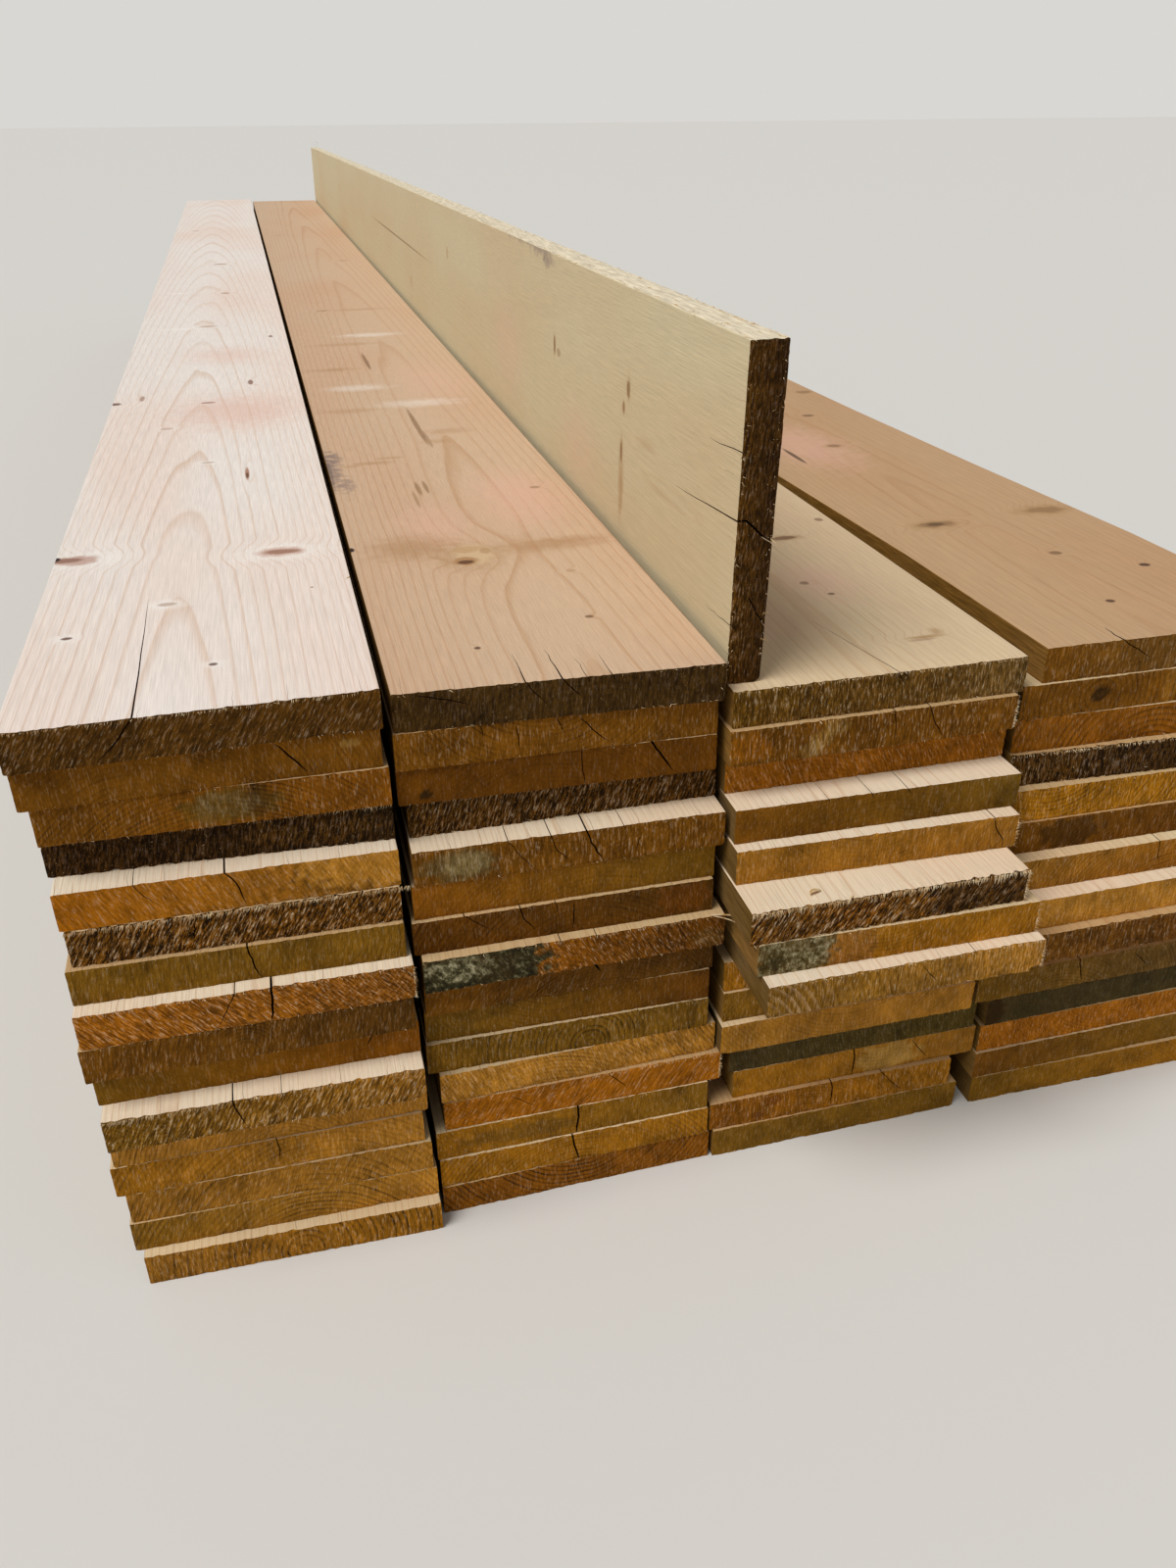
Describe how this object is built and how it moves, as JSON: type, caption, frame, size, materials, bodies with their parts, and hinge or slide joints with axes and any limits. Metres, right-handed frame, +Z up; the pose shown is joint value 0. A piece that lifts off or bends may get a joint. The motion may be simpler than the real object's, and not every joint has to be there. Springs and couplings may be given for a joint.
{
  "type": "stack of lumber",
  "caption": "Stack of rough sawn spruce boards laid flat in columns side by side, with staggered sawn ends and one board standing on its long edge on top.",
  "frame": {"origin": "middle of the stack's base, on the floor", "axes": "+Z up, +Y along the boards away from the uneven near ends, X across the columns"},
  "size_m": [0.845, 4.082, 0.5828],
  "materials": {
    "sawn_spruce": "rough sawn, matt",
    "browned_spruce": "rough sawn, browned by weather, matt"
  },
  "bodies": {
    "root": {"layer_01": "sawn_spruce", "layer_02": "sawn_spruce", "layer_03": "sawn_spruce", "layer_04": "sawn_spruce", "layer_05": "sawn_spruce", "layer_06": "sawn_spruce", "layer_07": "sawn_spruce", "layer_08": "sawn_spruce", "layer_09": "sawn_spruce", "layer_10": "sawn_spruce", "layer_11": "sawn_spruce", "layer_12": "sawn_spruce", "layer_13": "sawn_spruce", "layer_14": "sawn_spruce", "layer_15": "sawn_spruce", "layer_16": "sawn_spruce", "board_on_edge": "browned_spruce"}
  },
  "joints": []
}
